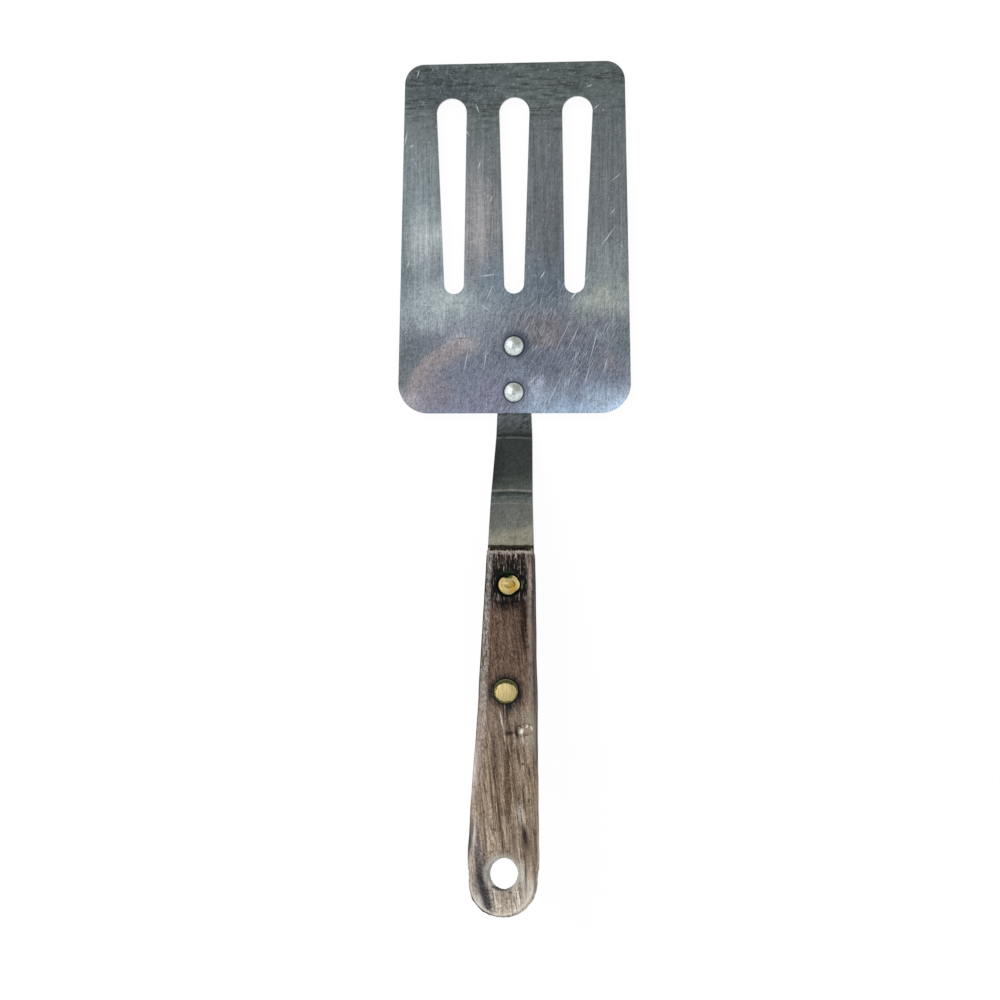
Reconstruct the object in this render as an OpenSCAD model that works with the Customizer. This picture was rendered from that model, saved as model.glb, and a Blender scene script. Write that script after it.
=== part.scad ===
// Slotted spatula with a riveted wooden handle.
// A strip of steel is riveted under the rear of the blade. It rises in two bends and ends as a tang
// in a saw kerf of the handle, where two brass rivets hold it.
// The origin is on the strip's flat underside, below the middle of the blade's rear edge.
// +Y points to the blade's front edge, and the handle rises towards -Y.

/* [Blade] */
// Length from the rear edge to the front edge
blade_len = 116.6; // [100:0.1:140]
// Width at the front edge
blade_front_w = 73.2; // [68:0.1:90]
// Width at the rear edge
blade_rear_w = 78.3; // [70:0.1:96]
// Thickness of the sheet
blade_t = 1.2; // [0.8:0.1:2]
// Radius of the two front corners
blade_front_r = 6.5; // [3:0.5:9]
// Radius of the two rear corners
blade_rear_r = 10; // [5:0.5:14]

/* [Slots] */
// Width of a slot at its front end
slot_front_w = 10.1; // [8:0.1:12]
// Width of a slot at its rear end
slot_rear_w = 6.7; // [5:0.1:8]
// Distance from the blade's front edge to the slots
slot_front_gap = 11.4; // [9:0.1:15]
// Distance from the blade's rear edge to the slots
slot_rear_gap = 39.9; // [37:0.1:44]
// Distance between two slots' centres at their front ends
slot_front_pitch = 21; // [18:0.1:23]
// Distance between two slots' centres at their rear ends
slot_rear_pitch = 20.2; // [17:0.1:23]

/* [Shank] */
// Thickness of the strip
strip_t = 2.4; // [1.8:0.1:3]
// Width of the strip at its round front end under the blade
strip_front_w = 9.1; // [8:0.1:11]
// Length of the strip that lies under the blade
lap_len = 30.5; // [29:0.1:34]
// Distance from the blade's rear edge to the first bend
heel_len = 8; // [6:0.1:14]
// Length of the rise between the two bends
rise_len = 22.2; // [18:0.1:30]
// Length from the second bend to the handle
neck_len = 16.9; // [12:0.1:26]
// Length of the tang inside the handle
tang_len = 53.5; // [52:0.1:70]
// Slope of the rise
rise_angle = 24; // [16:1:35]
// Slope of the tang and the handle
handle_angle = 12; // [6:1:15]
// Inner radius of the first bend
heel_bend_r = 5; // [3:0.5:8]
// Inner radius of the second bend
neck_bend_r = 14; // [6:0.5:20]

/* [Handle] */
// Length from its front end to its butt
handle_len = 118.1; // [112:0.1:140]
// Width at the front end
handle_front_w = 15.6; // [14.5:0.1:18]
// Width at the widest place, near the butt
handle_butt_w = 22.8; // [21:0.1:27]
// Thickness of the wood
handle_t = 13; // [12:0.1:17]
// Rounding of the long edges at the widest place
handle_edge_r = 2.3; // [1:0.1:2.8]
// Rounding of the front end's edges
front_edge_r = 1.3; // [0.5:0.1:1.4]
// Radius of the two front corners, seen from above
handle_corner_r = 1.6; // [1.5:0.1:4]
// Radius of the round butt
butt_r = 10.9; // [9.5:0.1:11.5]
// Rounding of the butt's edges
butt_edge_r = 1; // [0.5:0.1:2]
// Distance from the butt to the widest place
shoulder_len = 18.6; // [14:0.1:24]
// Diameter of the hanging hole
hole_d = 9.5; // [6:0.1:10.5]
// Distance from the butt to the hanging hole's centre
hole_from_butt = 13.8; // [11:0.1:18]

/* [Steel rivets] */
// Diameter of a steel rivet's domed head
steel_head_d = 6.35; // [5.5:0.05:7.5]
// Height of the dome
steel_head_h = 1.3; // [0.8:0.1:1.8]
// Diameter of a steel rivet's body
steel_body_d = 3.2; // [2.5:0.1:3.8]
// Diameter of the countersunk tail at the strip's underside
steel_tail_d = 5; // [4.4:0.1:6]
// Depth of the countersunk tail
steel_tail_h = 1; // [0.6:0.1:1.4]
// Diameter of the dimple in the dome's centre
dimple_d = 1; // [0.6:0.1:1.6]
// Distance from the blade's rear edge to the rear rivet
steel_rivet_edge = 7; // [6:0.1:8]
// Distance between the two steel rivets
steel_rivet_pitch = 15.4; // [11:0.1:17]

/* [Brass rivets] */
// Diameter of a brass rivet's head
brass_head_d = 7.7; // [7:0.1:9.5]
// Height of the head's straight side
brass_head_h = 1.3; // [1:0.1:2]
// Height of the head's crown above its side
brass_crown_h = 0.35; // [0.1:0.05:0.6]
// Outside diameter of the hollow barrel
barrel_d = 4.8; // [4.2:0.1:5.4]
// Diameter of the pin that is pressed into the barrel
pin_d = 3.2; // [2.4:0.1:3.6]
// Distance from the handle's front end to the first brass rivet
brass_front_gap = 13; // [9:0.1:16]
// Distance between the two brass rivets
brass_pitch = 34.3; // [26:0.1:36]

/* [Fits] */
// Play all round a rivet in its hole
rivet_play = 0.05; // [0.02:0.01:0.15]
// Play between the tang and each face of the kerf
kerf_play = 0.05; // [0:0.01:0.1]
// Gap behind the tang at the kerf's end
kerf_end_gap = 0.5; // [0.3:0.1:2]
// How far the wood stands out past each side of the tang
wood_lip = 0.25; // [0.2:0.05:1]
// Play all round the pin in the barrel
press_play = 0.02; // [0.01:0.01:0.05]
// Gap between a pin's tip and the barrel's end wall, and between the barrel's mouth and the pin's head
rivet_end_gap = 0.4; // [0.2:0.1:1]
// How far a steel rivet's tail stays inside the strip's underside
tail_inset = 0.05; // [0:0.01:0.2]

/* [Hidden] */
$fn = 64;
hull_fn = 32;
// Flats that stand for a round corner of the blade, a round slot end and one bend of the strip
corner_steps = 16;
slot_end_steps = 24;
bend_steps = 12;
// Flats that stand for a quarter circle of a rounded edge
edge_steps = 6;
// How far every cut runs past the surface it opens
overrun = 1;
slot_sides = [-1, 0, 1];
pair = [-1, 1];

// Heights over the surface that the strip lies on
blade_z = strip_t;
blade_top_z = blade_z + blade_t;

// Ends of the slots' straight flanks
slot_front_r = slot_front_w / 2;
slot_rear_r = slot_rear_w / 2;
slot_front_y = blade_len - slot_front_gap - slot_front_r;
slot_rear_y = slot_rear_gap + slot_rear_r;

// Corners of the strip's middle line, as [y, z]
heel = [-heel_len, strip_t / 2];
crest = heel + rise_len * [-cos(rise_angle), sin(rise_angle)];
wrist = crest + neck_len * [-cos(handle_angle), sin(handle_angle)];
crest_turn = rise_angle - handle_angle;
heel_mid_r = heel_bend_r + strip_t / 2;
neck_mid_r = neck_bend_r + strip_t / 2;
heel_setback = heel_mid_r * tan(rise_angle / 2);
crest_setback = neck_mid_r * tan(crest_turn / 2);
tang_end_y = wrist.x - tang_len * cos(handle_angle);

// Places along the handle, from its front end
shoulder_s = handle_len - shoulder_len;
butt_s = handle_len - butt_r;
hole_s = handle_len - hole_from_butt;
brass_s = [brass_front_gap, brass_front_gap + brass_pitch];
kerf_len = tang_len + kerf_end_gap;

// The handle's width a distance s from its front end, up to its widest place
function handle_w(s) = handle_front_w + (handle_butt_w - handle_front_w) * s / shoulder_s;

// Halves of a brass rivet, along its own axis from the handle's middle plane
head_seat = handle_t / 2 - brass_head_h + rivet_play;
barrel_mouth = -head_seat + rivet_end_gap;
pin_tip = head_seat - rivet_end_gap;

// Radius of the sphere whose cap has the base radius r and the height h
function cap_radius(r, h) = (r * r + h * h) / (2 * h);

// Points on a circle about a centre, from one direction to another
function arc_points(centre, r, from, to, steps) = [
    for (i = [0 : steps])
        let (angle = from + (to - from) * i / steps)
        centre + r * [cos(angle), sin(angle)]
];

// The round corner at p of a convex outline that comes from a, goes on to b and runs anticlockwise
function unit(v) = v / norm(v);
function corner_points(a, p, b, r) =
    let (
        to_a = unit(a - p), to_b = unit(b - p),
        reach = r / tan(acos(to_a * to_b) / 2),
        centre = p + unit(to_a + to_b) * norm([r, reach]),
        start = atan2(to_a.x, -to_a.y)
    )
    arc_points(centre, r, start, start + 180 - acos(to_a * to_b), corner_steps);

// Moves a shape whose x is the width, y the way to the butt and z the thickness into the handle's place
module in_handle() {
    translate([0, wrist.x, wrist.y]) rotate([handle_angle, 0, 180]) children();
}

// A slot with a wide round front end and a narrower round rear end
module slot_outline(side) {
    front = [side * slot_front_pitch, slot_front_y];
    rear = [side * slot_rear_pitch, slot_rear_y];
    run = front - rear;
    way = atan2(run.y, run.x);
    lean = asin((slot_front_r - slot_rear_r) / norm(run));
    polygon(concat(
        arc_points(front, slot_front_r, way - 90 - lean, way + 90 + lean, slot_end_steps),
        arc_points(rear, slot_rear_r, way + 90 + lean, way + 270 - lean, slot_end_steps)
    ));
}

module blade_outline() {
    rear_right = [blade_rear_w / 2, 0];
    rear_left = [-blade_rear_w / 2, 0];
    front_right = [blade_front_w / 2, blade_len];
    front_left = [-blade_front_w / 2, blade_len];
    polygon(concat(
        corner_points(rear_left, rear_right, front_right, blade_rear_r),
        corner_points(rear_right, front_right, front_left, blade_front_r),
        corner_points(front_right, front_left, rear_left, blade_front_r),
        corner_points(front_left, rear_left, rear_right, blade_rear_r)
    ));
}

module blade() {
    color([0.42, 0.44, 0.43])
    difference() {
        translate([0, 0, blade_z])
            linear_extrude(blade_t)
                blade_outline();
        for (side = slot_sides)
            translate([0, 0, blade_z - overrun])
                linear_extrude(blade_t + 2 * overrun)
                    slot_outline(side);
        steel_rivet_holes();
    }
}

// Straight holes for the bodies of both steel rivets, through the strip and the blade
module steel_rivet_holes() {
    for (i = [0, 1])
        translate([0, steel_rivet_edge + i * steel_rivet_pitch, -overrun])
            cylinder(r = steel_body_d / 2 + rivet_play, h = blade_top_z + 2 * overrun);
}

// The strip seen from the side, as [y, z]: its upper line to the tang's end, and its lower line back
module strip_side_view() {
    rise_way = [-cos(rise_angle), sin(rise_angle)];
    neck_way = [-cos(handle_angle), sin(handle_angle)];
    neck_up = [sin(handle_angle), cos(handle_angle)];
    heel_centre = [heel.x + heel_setback, strip_t + heel_bend_r];
    crest_centre = crest + crest_setback * neck_way - neck_mid_r * neck_up;
    tang_end = wrist + tang_len * neck_way;
    polygon(concat(
        [[lap_len, strip_t]],
        arc_points(heel_centre, heel_bend_r, -90, -90 - rise_angle, bend_steps),
        arc_points(crest_centre, neck_bend_r + strip_t, 90 - rise_angle, 90 - handle_angle, bend_steps),
        [tang_end + neck_up * strip_t / 2, tang_end - neck_up * strip_t / 2],
        arc_points(crest_centre, neck_bend_r, 90 - handle_angle, 90 - rise_angle, bend_steps),
        arc_points(heel_centre, heel_bend_r + strip_t, -90 - rise_angle, -90, bend_steps),
        [[lap_len, 0]]
    ));
}

// The strip seen from above: a round front end, then one straight taper to the handle and one in it
module strip_plan() {
    front_r = strip_front_w / 2;
    wrist_w = handle_front_w - 2 * wood_lip;
    tang_end_w = handle_w(tang_len) - 2 * wood_lip;
    translate([0, lap_len - front_r]) circle(r = front_r);
    polygon([
        [-front_r, lap_len - front_r], [-wrist_w / 2, wrist.x],
        [-tang_end_w / 2, tang_end_y - overrun], [tang_end_w / 2, tang_end_y - overrun],
        [wrist_w / 2, wrist.x], [front_r, lap_len - front_r]
    ]);
}

module shank() {
    top_z = wrist.y + tang_len + strip_t;
    color([0.36, 0.38, 0.37])
    difference() {
        intersection() {
            rotate([90, 0, 90])
                linear_extrude(handle_butt_w, center = true)
                    strip_side_view();
            translate([0, 0, -overrun])
                linear_extrude(top_z + overrun)
                    strip_plan();
        }
        steel_rivet_holes();
        for (i = [0, 1])
            translate([0, steel_rivet_edge + i * steel_rivet_pitch, 0])
                steel_tail(rivet_play);
        in_handle()
            for (s = brass_s)
                translate([0, s, -strip_t / 2 - overrun])
                    cylinder(r = barrel_d / 2 + rivet_play, h = strip_t + 2 * overrun);
    }
}

// The countersunk tail of a steel rivet, widened by the play all round
module steel_tail(play) {
    rotate_extrude()
        polygon([
            [0, 0], [steel_tail_d / 2 + play, 0],
            [steel_body_d / 2 + play, steel_tail_h], [0, steel_tail_h]
        ]);
}

// A steel rivet on its own axis: dome above the blade, body through both sheets, countersunk tail
module steel_rivet() {
    head_r = steel_head_d / 2;
    dome_r = cap_radius(head_r, steel_head_h);
    dimple_r = dimple_d / 2;
    color([0.8, 0.8, 0.78])
    difference() {
        union() {
            translate([0, 0, blade_top_z])
                rotate_extrude()
                    intersection() {
                        translate([0, steel_head_h - dome_r]) circle(r = dome_r);
                        square([head_r, steel_head_h]);
                    }
            translate([0, 0, tail_inset])
                cylinder(r = steel_body_d / 2, h = blade_top_z - tail_inset);
            intersection() {
                steel_tail(0);
                translate([0, 0, tail_inset]) cylinder(r = steel_tail_d, h = steel_tail_h);
            }
        }
        translate([0, 0, blade_top_z + steel_head_h + dimple_r / 2]) sphere(r = dimple_r);
    }
}

module blade_rivet_front() {
    translate([0, steel_rivet_edge + steel_rivet_pitch, 0]) steel_rivet();
}

module blade_rivet_rear() {
    translate([0, steel_rivet_edge, 0]) steel_rivet();
}

// A round slab of the wood's thickness, with the given radius and edge rounding
module wood_disc(r, edge) {
    quarter = [for (i = [0 : edge_steps]) 90 * i / edge_steps];
    rotate_extrude($fn = hull_fn)
        polygon(concat(
            [[0, -handle_t / 2]],
            [for (a = quarter) [r - edge + edge * sin(a), -handle_t / 2 + edge - edge * cos(a)]],
            [for (a = quarter) [r - edge + edge * cos(a), handle_t / 2 - edge + edge * sin(a)]],
            [[0, handle_t / 2]]
        ));
}

// The wood before it is cut, in the handle's own directions
module handle_blank() {
    hull() {
        for (side = pair)
            translate([side * (handle_front_w / 2 - handle_corner_r), handle_corner_r, 0])
                wood_disc(handle_corner_r, front_edge_r);
        translate([0, shoulder_s, 0]) wood_disc(handle_butt_w / 2, handle_edge_r);
        translate([0, butt_s, 0]) wood_disc(butt_r, butt_edge_r);
    }
}

module handle() {
    kerf_h = strip_t + 2 * kerf_play;
    color([0.36, 0.27, 0.22])
    in_handle()
    difference() {
        handle_blank();
        translate([-handle_butt_w / 2, -overrun, -kerf_h / 2])
            cube([handle_butt_w, kerf_len + overrun, kerf_h]);
        for (s = brass_s) {
            translate([0, s, -handle_t / 2 - overrun])
                cylinder(r = barrel_d / 2 + rivet_play, h = handle_t + 2 * overrun);
            for (turn = [0, 180])
                translate([0, s, 0])
                    rotate([0, turn, 0])
                        translate([0, 0, head_seat])
                            cylinder(r = brass_head_d / 2 + rivet_play, h = brass_head_h + overrun);
        }
        translate([0, hole_s, -handle_t / 2 - overrun])
            cylinder(r = hole_d / 2, h = handle_t + 2 * overrun);
    }
}

// The head that both halves of a brass rivet have, on its seat in the wood
module brass_head() {
    head_r = brass_head_d / 2;
    crown_r = cap_radius(head_r, brass_crown_h);
    translate([0, 0, head_seat])
        rotate_extrude() {
            square([head_r, brass_head_h]);
            translate([0, brass_head_h])
                intersection() {
                    translate([0, brass_crown_h - crown_r]) circle(r = crown_r);
                    square([head_r, brass_crown_h]);
                }
        }
}

module rivet_barrel(s) {
    color([0.72, 0.6, 0.3])
    in_handle()
    translate([0, s, 0])
    difference() {
        union() {
            brass_head();
            translate([0, 0, barrel_mouth])
                cylinder(r = barrel_d / 2, h = head_seat - barrel_mouth);
        }
        translate([0, 0, barrel_mouth - overrun])
            cylinder(r = pin_d / 2 + press_play, h = head_seat - barrel_mouth + overrun);
    }
}

module rivet_pin(s) {
    color([0.72, 0.6, 0.3])
    in_handle()
    translate([0, s, 0]) {
        rotate([0, 180, 0]) brass_head();
        translate([0, 0, -head_seat])
            cylinder(r = pin_d / 2, h = head_seat + pin_tip);
    }
}

module front_rivet_barrel() { rivet_barrel(brass_s[0]); }

module front_rivet_pin() { rivet_pin(brass_s[0]); }

module rear_rivet_barrel() { rivet_barrel(brass_s[1]); }

module rear_rivet_pin() { rivet_pin(brass_s[1]); }

blade();
shank();
handle();
blade_rivet_front();
blade_rivet_rear();
front_rivet_barrel();
front_rivet_pin();
rear_rivet_barrel();
rear_rivet_pin();
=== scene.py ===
"""A slotted spatula of worn steel with a weathered wooden handle, seen from above on a white table."""
from math import atan2, exp, hypot, pi, radians, sqrt

import bpy
from mathutils import Matrix, Vector


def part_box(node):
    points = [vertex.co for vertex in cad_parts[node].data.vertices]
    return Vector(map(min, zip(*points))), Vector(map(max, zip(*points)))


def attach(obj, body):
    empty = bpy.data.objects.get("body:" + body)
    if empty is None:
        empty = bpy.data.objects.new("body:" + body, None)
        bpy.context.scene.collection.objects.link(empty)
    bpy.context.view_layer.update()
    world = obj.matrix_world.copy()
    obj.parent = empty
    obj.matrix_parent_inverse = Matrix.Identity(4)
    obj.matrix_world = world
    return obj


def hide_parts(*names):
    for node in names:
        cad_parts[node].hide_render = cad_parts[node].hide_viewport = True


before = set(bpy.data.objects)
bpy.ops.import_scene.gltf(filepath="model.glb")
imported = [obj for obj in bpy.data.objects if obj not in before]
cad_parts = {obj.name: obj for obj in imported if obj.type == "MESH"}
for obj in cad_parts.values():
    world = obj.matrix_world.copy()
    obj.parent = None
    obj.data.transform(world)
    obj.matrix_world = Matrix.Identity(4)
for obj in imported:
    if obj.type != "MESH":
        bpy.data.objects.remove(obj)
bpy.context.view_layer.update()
bpy.ops.object.select_all(action="DESELECT")

# Camera
# The photograph was taken from about 0.6 m above the blade's rear, a little to the right, so that the
# right side of the spatula is nearer than the left.
camera_distance = 0.600
camera_roll = 5.657
camera_pitch = -0.480
camera_turn = 0.089
view_shift = Vector((-0.004596, -0.028922, 0))
sensor_width = 36
lens_length = 64.8
blade_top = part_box("blade")[1].z
toward_camera = (
    Matrix.Rotation(radians(camera_roll), 3, "Y")
    @ Matrix.Rotation(radians(camera_pitch), 3, "X")
    @ Matrix.Rotation(radians(camera_turn), 3, "Z")
)
camera_place = toward_camera @ (view_shift + Vector((0, 0, camera_distance)))
camera_place += Vector((0, 0, blade_top))
bpy.ops.object.camera_add(location=camera_place, rotation=toward_camera.to_euler())
camera = bpy.context.object
camera.name = "photo_camera"
camera.data.sensor_width = sensor_width
camera.data.lens = lens_length
camera.data.clip_start = 0.01
bpy.context.scene.camera = camera

# Blade
# A flat sheet of stainless steel, blanked with three slots that taper towards the rear. Use has rounded
# its edges and scratched it, and heat has tinted it blue and brown around the rivets. A blue-white
# painted reflection and a greenish painted highlight lie in its colour as well.
mm = 0.001
blade_length = 117
blade_edge_round = 0.25 * mm
sharp_angle = 40
right_through = 1000


class Wire:
    """An output of a shader node that does sums with other outputs and with numbers."""

    def __init__(self, finish, socket):
        self.finish = finish
        self.socket = socket

    def math(self, operation, first, second=0.0):
        return self.finish.node("ShaderNodeMath", {"operation": operation}, {0: first, 1: second})

    def __add__(self, other):
        return self.math("ADD", self, other)

    def __radd__(self, other):
        return self.math("ADD", other, self)

    def __sub__(self, other):
        return self.math("SUBTRACT", self, other)

    def __rsub__(self, other):
        return self.math("SUBTRACT", other, self)

    def __mul__(self, other):
        return self.math("MULTIPLY", self, other)

    def __rmul__(self, other):
        return self.math("MULTIPLY", other, self)

    def __truediv__(self, other):
        return self.math("DIVIDE", self, other)

    def __pow__(self, other):
        return self.math("POWER", self, other)

    def __abs__(self):
        return self.math("ABSOLUTE", self)


class Finish:
    """A procedural material, built one node at a time around its Principled shader.

    Patterns are placed in millimetres, in the part's own directions or in those of a turned frame."""

    def __init__(self, name, origin=(0, 0, 0), turn=(0, 0, 0), flip=1, **constants):
        self.material = bpy.data.materials.new(name)
        self.material.use_nodes = True
        self.tree = self.material.node_tree
        self.shader = self.tree.nodes["Principled BSDF"]
        for socket, value in constants.items():
            self.set(socket.replace("_", " "), value)
        surface = self.node("ShaderNodeTexCoord", {}, {}, "Object")
        self.place = self.node(
            "ShaderNodeMapping",
            {"vector_type": "TEXTURE"},
            {"Vector": surface, "Location": origin, "Rotation": turn, "Scale": (flip * mm, mm, mm)},
        )
        self.x, self.y, self.z = (
            self.node("ShaderNodeSeparateXYZ", {}, {"Vector": self.place}, axis) for axis in "XYZ"
        )

    def node(self, kind, settings, values, output=0):
        """Adds a node with its settings and the values or wires of its inputs, and gives one output."""
        new = self.tree.nodes.new(kind)
        for name, setting in settings.items():
            if name == "stops":
                elements = new.color_ramp.elements
                while len(elements) < len(setting):
                    elements.new(0.5)
                for element, (position, colour) in zip(elements, setting):
                    element.position = position
                    element.color = (*colour, 1)
            else:
                setattr(new, name, setting)
        for name, value in values.items():
            self.join(new.inputs[name], value)
        return Wire(self, new.outputs[output])

    def join(self, socket, value):
        if isinstance(value, Wire):
            self.tree.links.new(value.socket, socket)
        elif socket.type == "RGBA":
            socket.default_value = (*value, 1)
        else:
            socket.default_value = value

    def set(self, socket, value):
        self.join(self.shader.inputs[socket], value)

    def mix(self, amount, first, second, blend="MIX"):
        settings = {"data_type": "RGBA", "blend_type": blend}
        return self.node("ShaderNodeMix", settings, {0: amount, 6: first, 7: second}, 2)

    def rise(self, value, low, high):
        """0 below low, 1 above high and a smooth step between them."""
        return self.node(
            "ShaderNodeMapRange",
            {"interpolation_type": "SMOOTHSTEP"},
            {"Value": value, "From Min": low, "From Max": high},
        )

    def fall(self, value, low, high):
        """1 below low, 0 above high and a smooth step between them."""
        return 1 - self.rise(value, low, high)

    def local(self, centre, size, turn=0.0, place=None):
        """The place about a centre, turned about the third axis and divided by a size on each axis."""
        return self.node(
            "ShaderNodeMapping",
            {"vector_type": "TEXTURE"},
            {
                "Vector": place or self.place,
                "Location": centre,
                "Rotation": (0, 0, radians(turn)),
                "Scale": size,
            },
        )

    def noise(self, size, turn=0.0, detail=2.0, roughness=0.5, offset=0.0, place=None):
        """Smooth random blotches of a size in millimetres along each axis."""
        vector = self.local((offset, offset, 0), size, turn, place)
        values = {"Vector": vector, "Scale": 1.0, "Detail": detail, "Roughness": roughness}
        return self.node("ShaderNodeTexNoise", {}, values)

    def spot(self, centre, half_size, turn=0.0, place=None):
        """A soft spot: 1 at its centre and 0 from its rim on, right through the piece."""
        vector = self.local((*centre, 0), (*half_size, right_through), turn, place)
        return self.node("ShaderNodeTexGradient", {"gradient_type": "SPHERICAL"}, {"Vector": vector}, 1)

    def shifted(self, across, along):
        """The place moved by wires that vary over the surface, which makes a pattern's edges ragged."""
        shift = self.node("ShaderNodeCombineXYZ", {}, {"X": across, "Y": along})
        return self.node("ShaderNodeVectorMath", {"operation": "ADD"}, {0: self.place, 1: shift})

    def dim(self, colour, brightness):
        """A colour times a brightness that varies over the surface."""
        return self.mix(1.0, colour, brightness, "MULTIPLY")

    def distance(self, centre, half_size=(1, 1), turn=0.0):
        """How far a point is from an axis through the centre, in millimetres or in half sizes."""
        vector = self.local((*centre, 0), (*half_size, right_through), turn)
        return self.node("ShaderNodeVectorMath", {"operation": "LENGTH"}, {0: vector}, 1)

    def line(self, start, end, half_width):
        """A scratch that fades towards its ends and sides."""
        run = Vector(end) - Vector(start)
        middle = (Vector(end) + Vector(start)) / 2
        turn = atan2(-run.x, run.y) * 180 / pi
        return self.spot(middle, (half_width, run.length / 2), turn)

    def bump(self, height, depth):
        """Raises the surface by the height, 0 to 1, times a depth in millimetres."""
        self.set("Normal", self.node("ShaderNodeBump", {}, {"Height": height, "Distance": depth * mm}))


def paint(red, green, blue):
    """A colour from its values on a colour chart, 0 to 255."""
    return tuple(((value / 255 + 0.055) / 1.055) ** 2.4 for value in (red, green, blue))


def dress(piece, finish, slot, *nodes):
    """Gives a finished piece its material and its place in the part."""
    piece.data.materials.clear()
    piece.data.materials.append(finish.material)
    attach(piece, "root")
    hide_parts(*nodes)


def modify(piece, kind, **settings):
    """Adds a modifier with its settings and applies it."""
    modifier = piece.modifiers.new(kind.lower(), kind)
    for name, value in settings.items():
        setattr(modifier, name, value)
    bpy.context.view_layer.objects.active = piece
    bpy.ops.object.modifier_apply(modifier=modifier.name)


def joined_copy(node, name):
    """A new piece with a CAD node's shape, its loose triangles joined into whole faces."""
    piece = bpy.data.objects.new(name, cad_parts[node].data.copy())
    bpy.context.collection.objects.link(piece)
    bpy.context.view_layer.objects.active = piece
    bpy.ops.object.mode_set(mode="EDIT")
    bpy.ops.mesh.select_all(action="SELECT")
    bpy.ops.mesh.remove_doubles(threshold=0.001 * mm)
    bpy.ops.mesh.dissolve_limited(angle_limit=radians(0.5))
    bpy.ops.object.mode_set(mode="OBJECT")
    return piece


def smooth(piece, angle):
    """Shades a piece smooth, apart from the edges that turn by more than an angle."""
    bpy.ops.object.select_all(action="DESELECT")
    piece.select_set(True)
    bpy.context.view_layer.objects.active = piece
    bpy.ops.object.shade_smooth_by_angle(angle=radians(angle))
    piece.select_set(False)


def round_edges(piece, width, segments):
    """Rounds every sharp edge and keeps the flat faces looking flat."""
    sharp = radians(sharp_angle)
    modify(piece, "BEVEL", width=width, segments=segments, limit_method="ANGLE", angle_limit=sharp)
    smooth(piece, 50)
    modify(piece, "WEIGHTED_NORMAL", keep_sharp=True)


blade = joined_copy("blade", "worn_blade")
round_edges(blade, blade_edge_round, 3)

steel = Finish("blade_steel", Metallic=1.0)

# Brushed grain along the blade, fine and coarse mottling, and short strokes of scouring
grain = steel.noise((0.3, 9, 1), detail=3, roughness=0.6)
brush = steel.noise((0.9, 34, 1), detail=2, offset=3)
mottle = steel.noise((0.42, 0.42, 1), detail=2, roughness=0.7)
blotch = steel.noise((2.2, 1.2, 2), detail=3, roughness=0.6, offset=41)
strokes = steel.noise((0.28, 1.8, 1), -6, detail=2, roughness=0.6, offset=37)
cross_strokes = steel.noise((0.28, 1.6, 1), -32, detail=2, roughness=0.6, offset=51)
cloud = steel.noise((6, 8, 6), detail=3, roughness=0.6)

# The general tone, from the darker front to the heat-blued rear
colour = steel.node(
    "ShaderNodeValToRGB",
    {"stops": [
        (0.0, paint(120, 126, 144)), (0.12, paint(106, 112, 126)), (0.25, paint(106, 112, 121)),
        (0.36, paint(102, 113, 122)), (0.5, paint(105, 111, 116)), (0.7, paint(99, 105, 107)),
        (0.84, paint(93, 100, 101)), (1.0, paint(80, 88, 88)),
    ]},
    {"Fac": (steel.y + 10 * (cloud - 0.5)) / blade_length},
)
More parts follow.
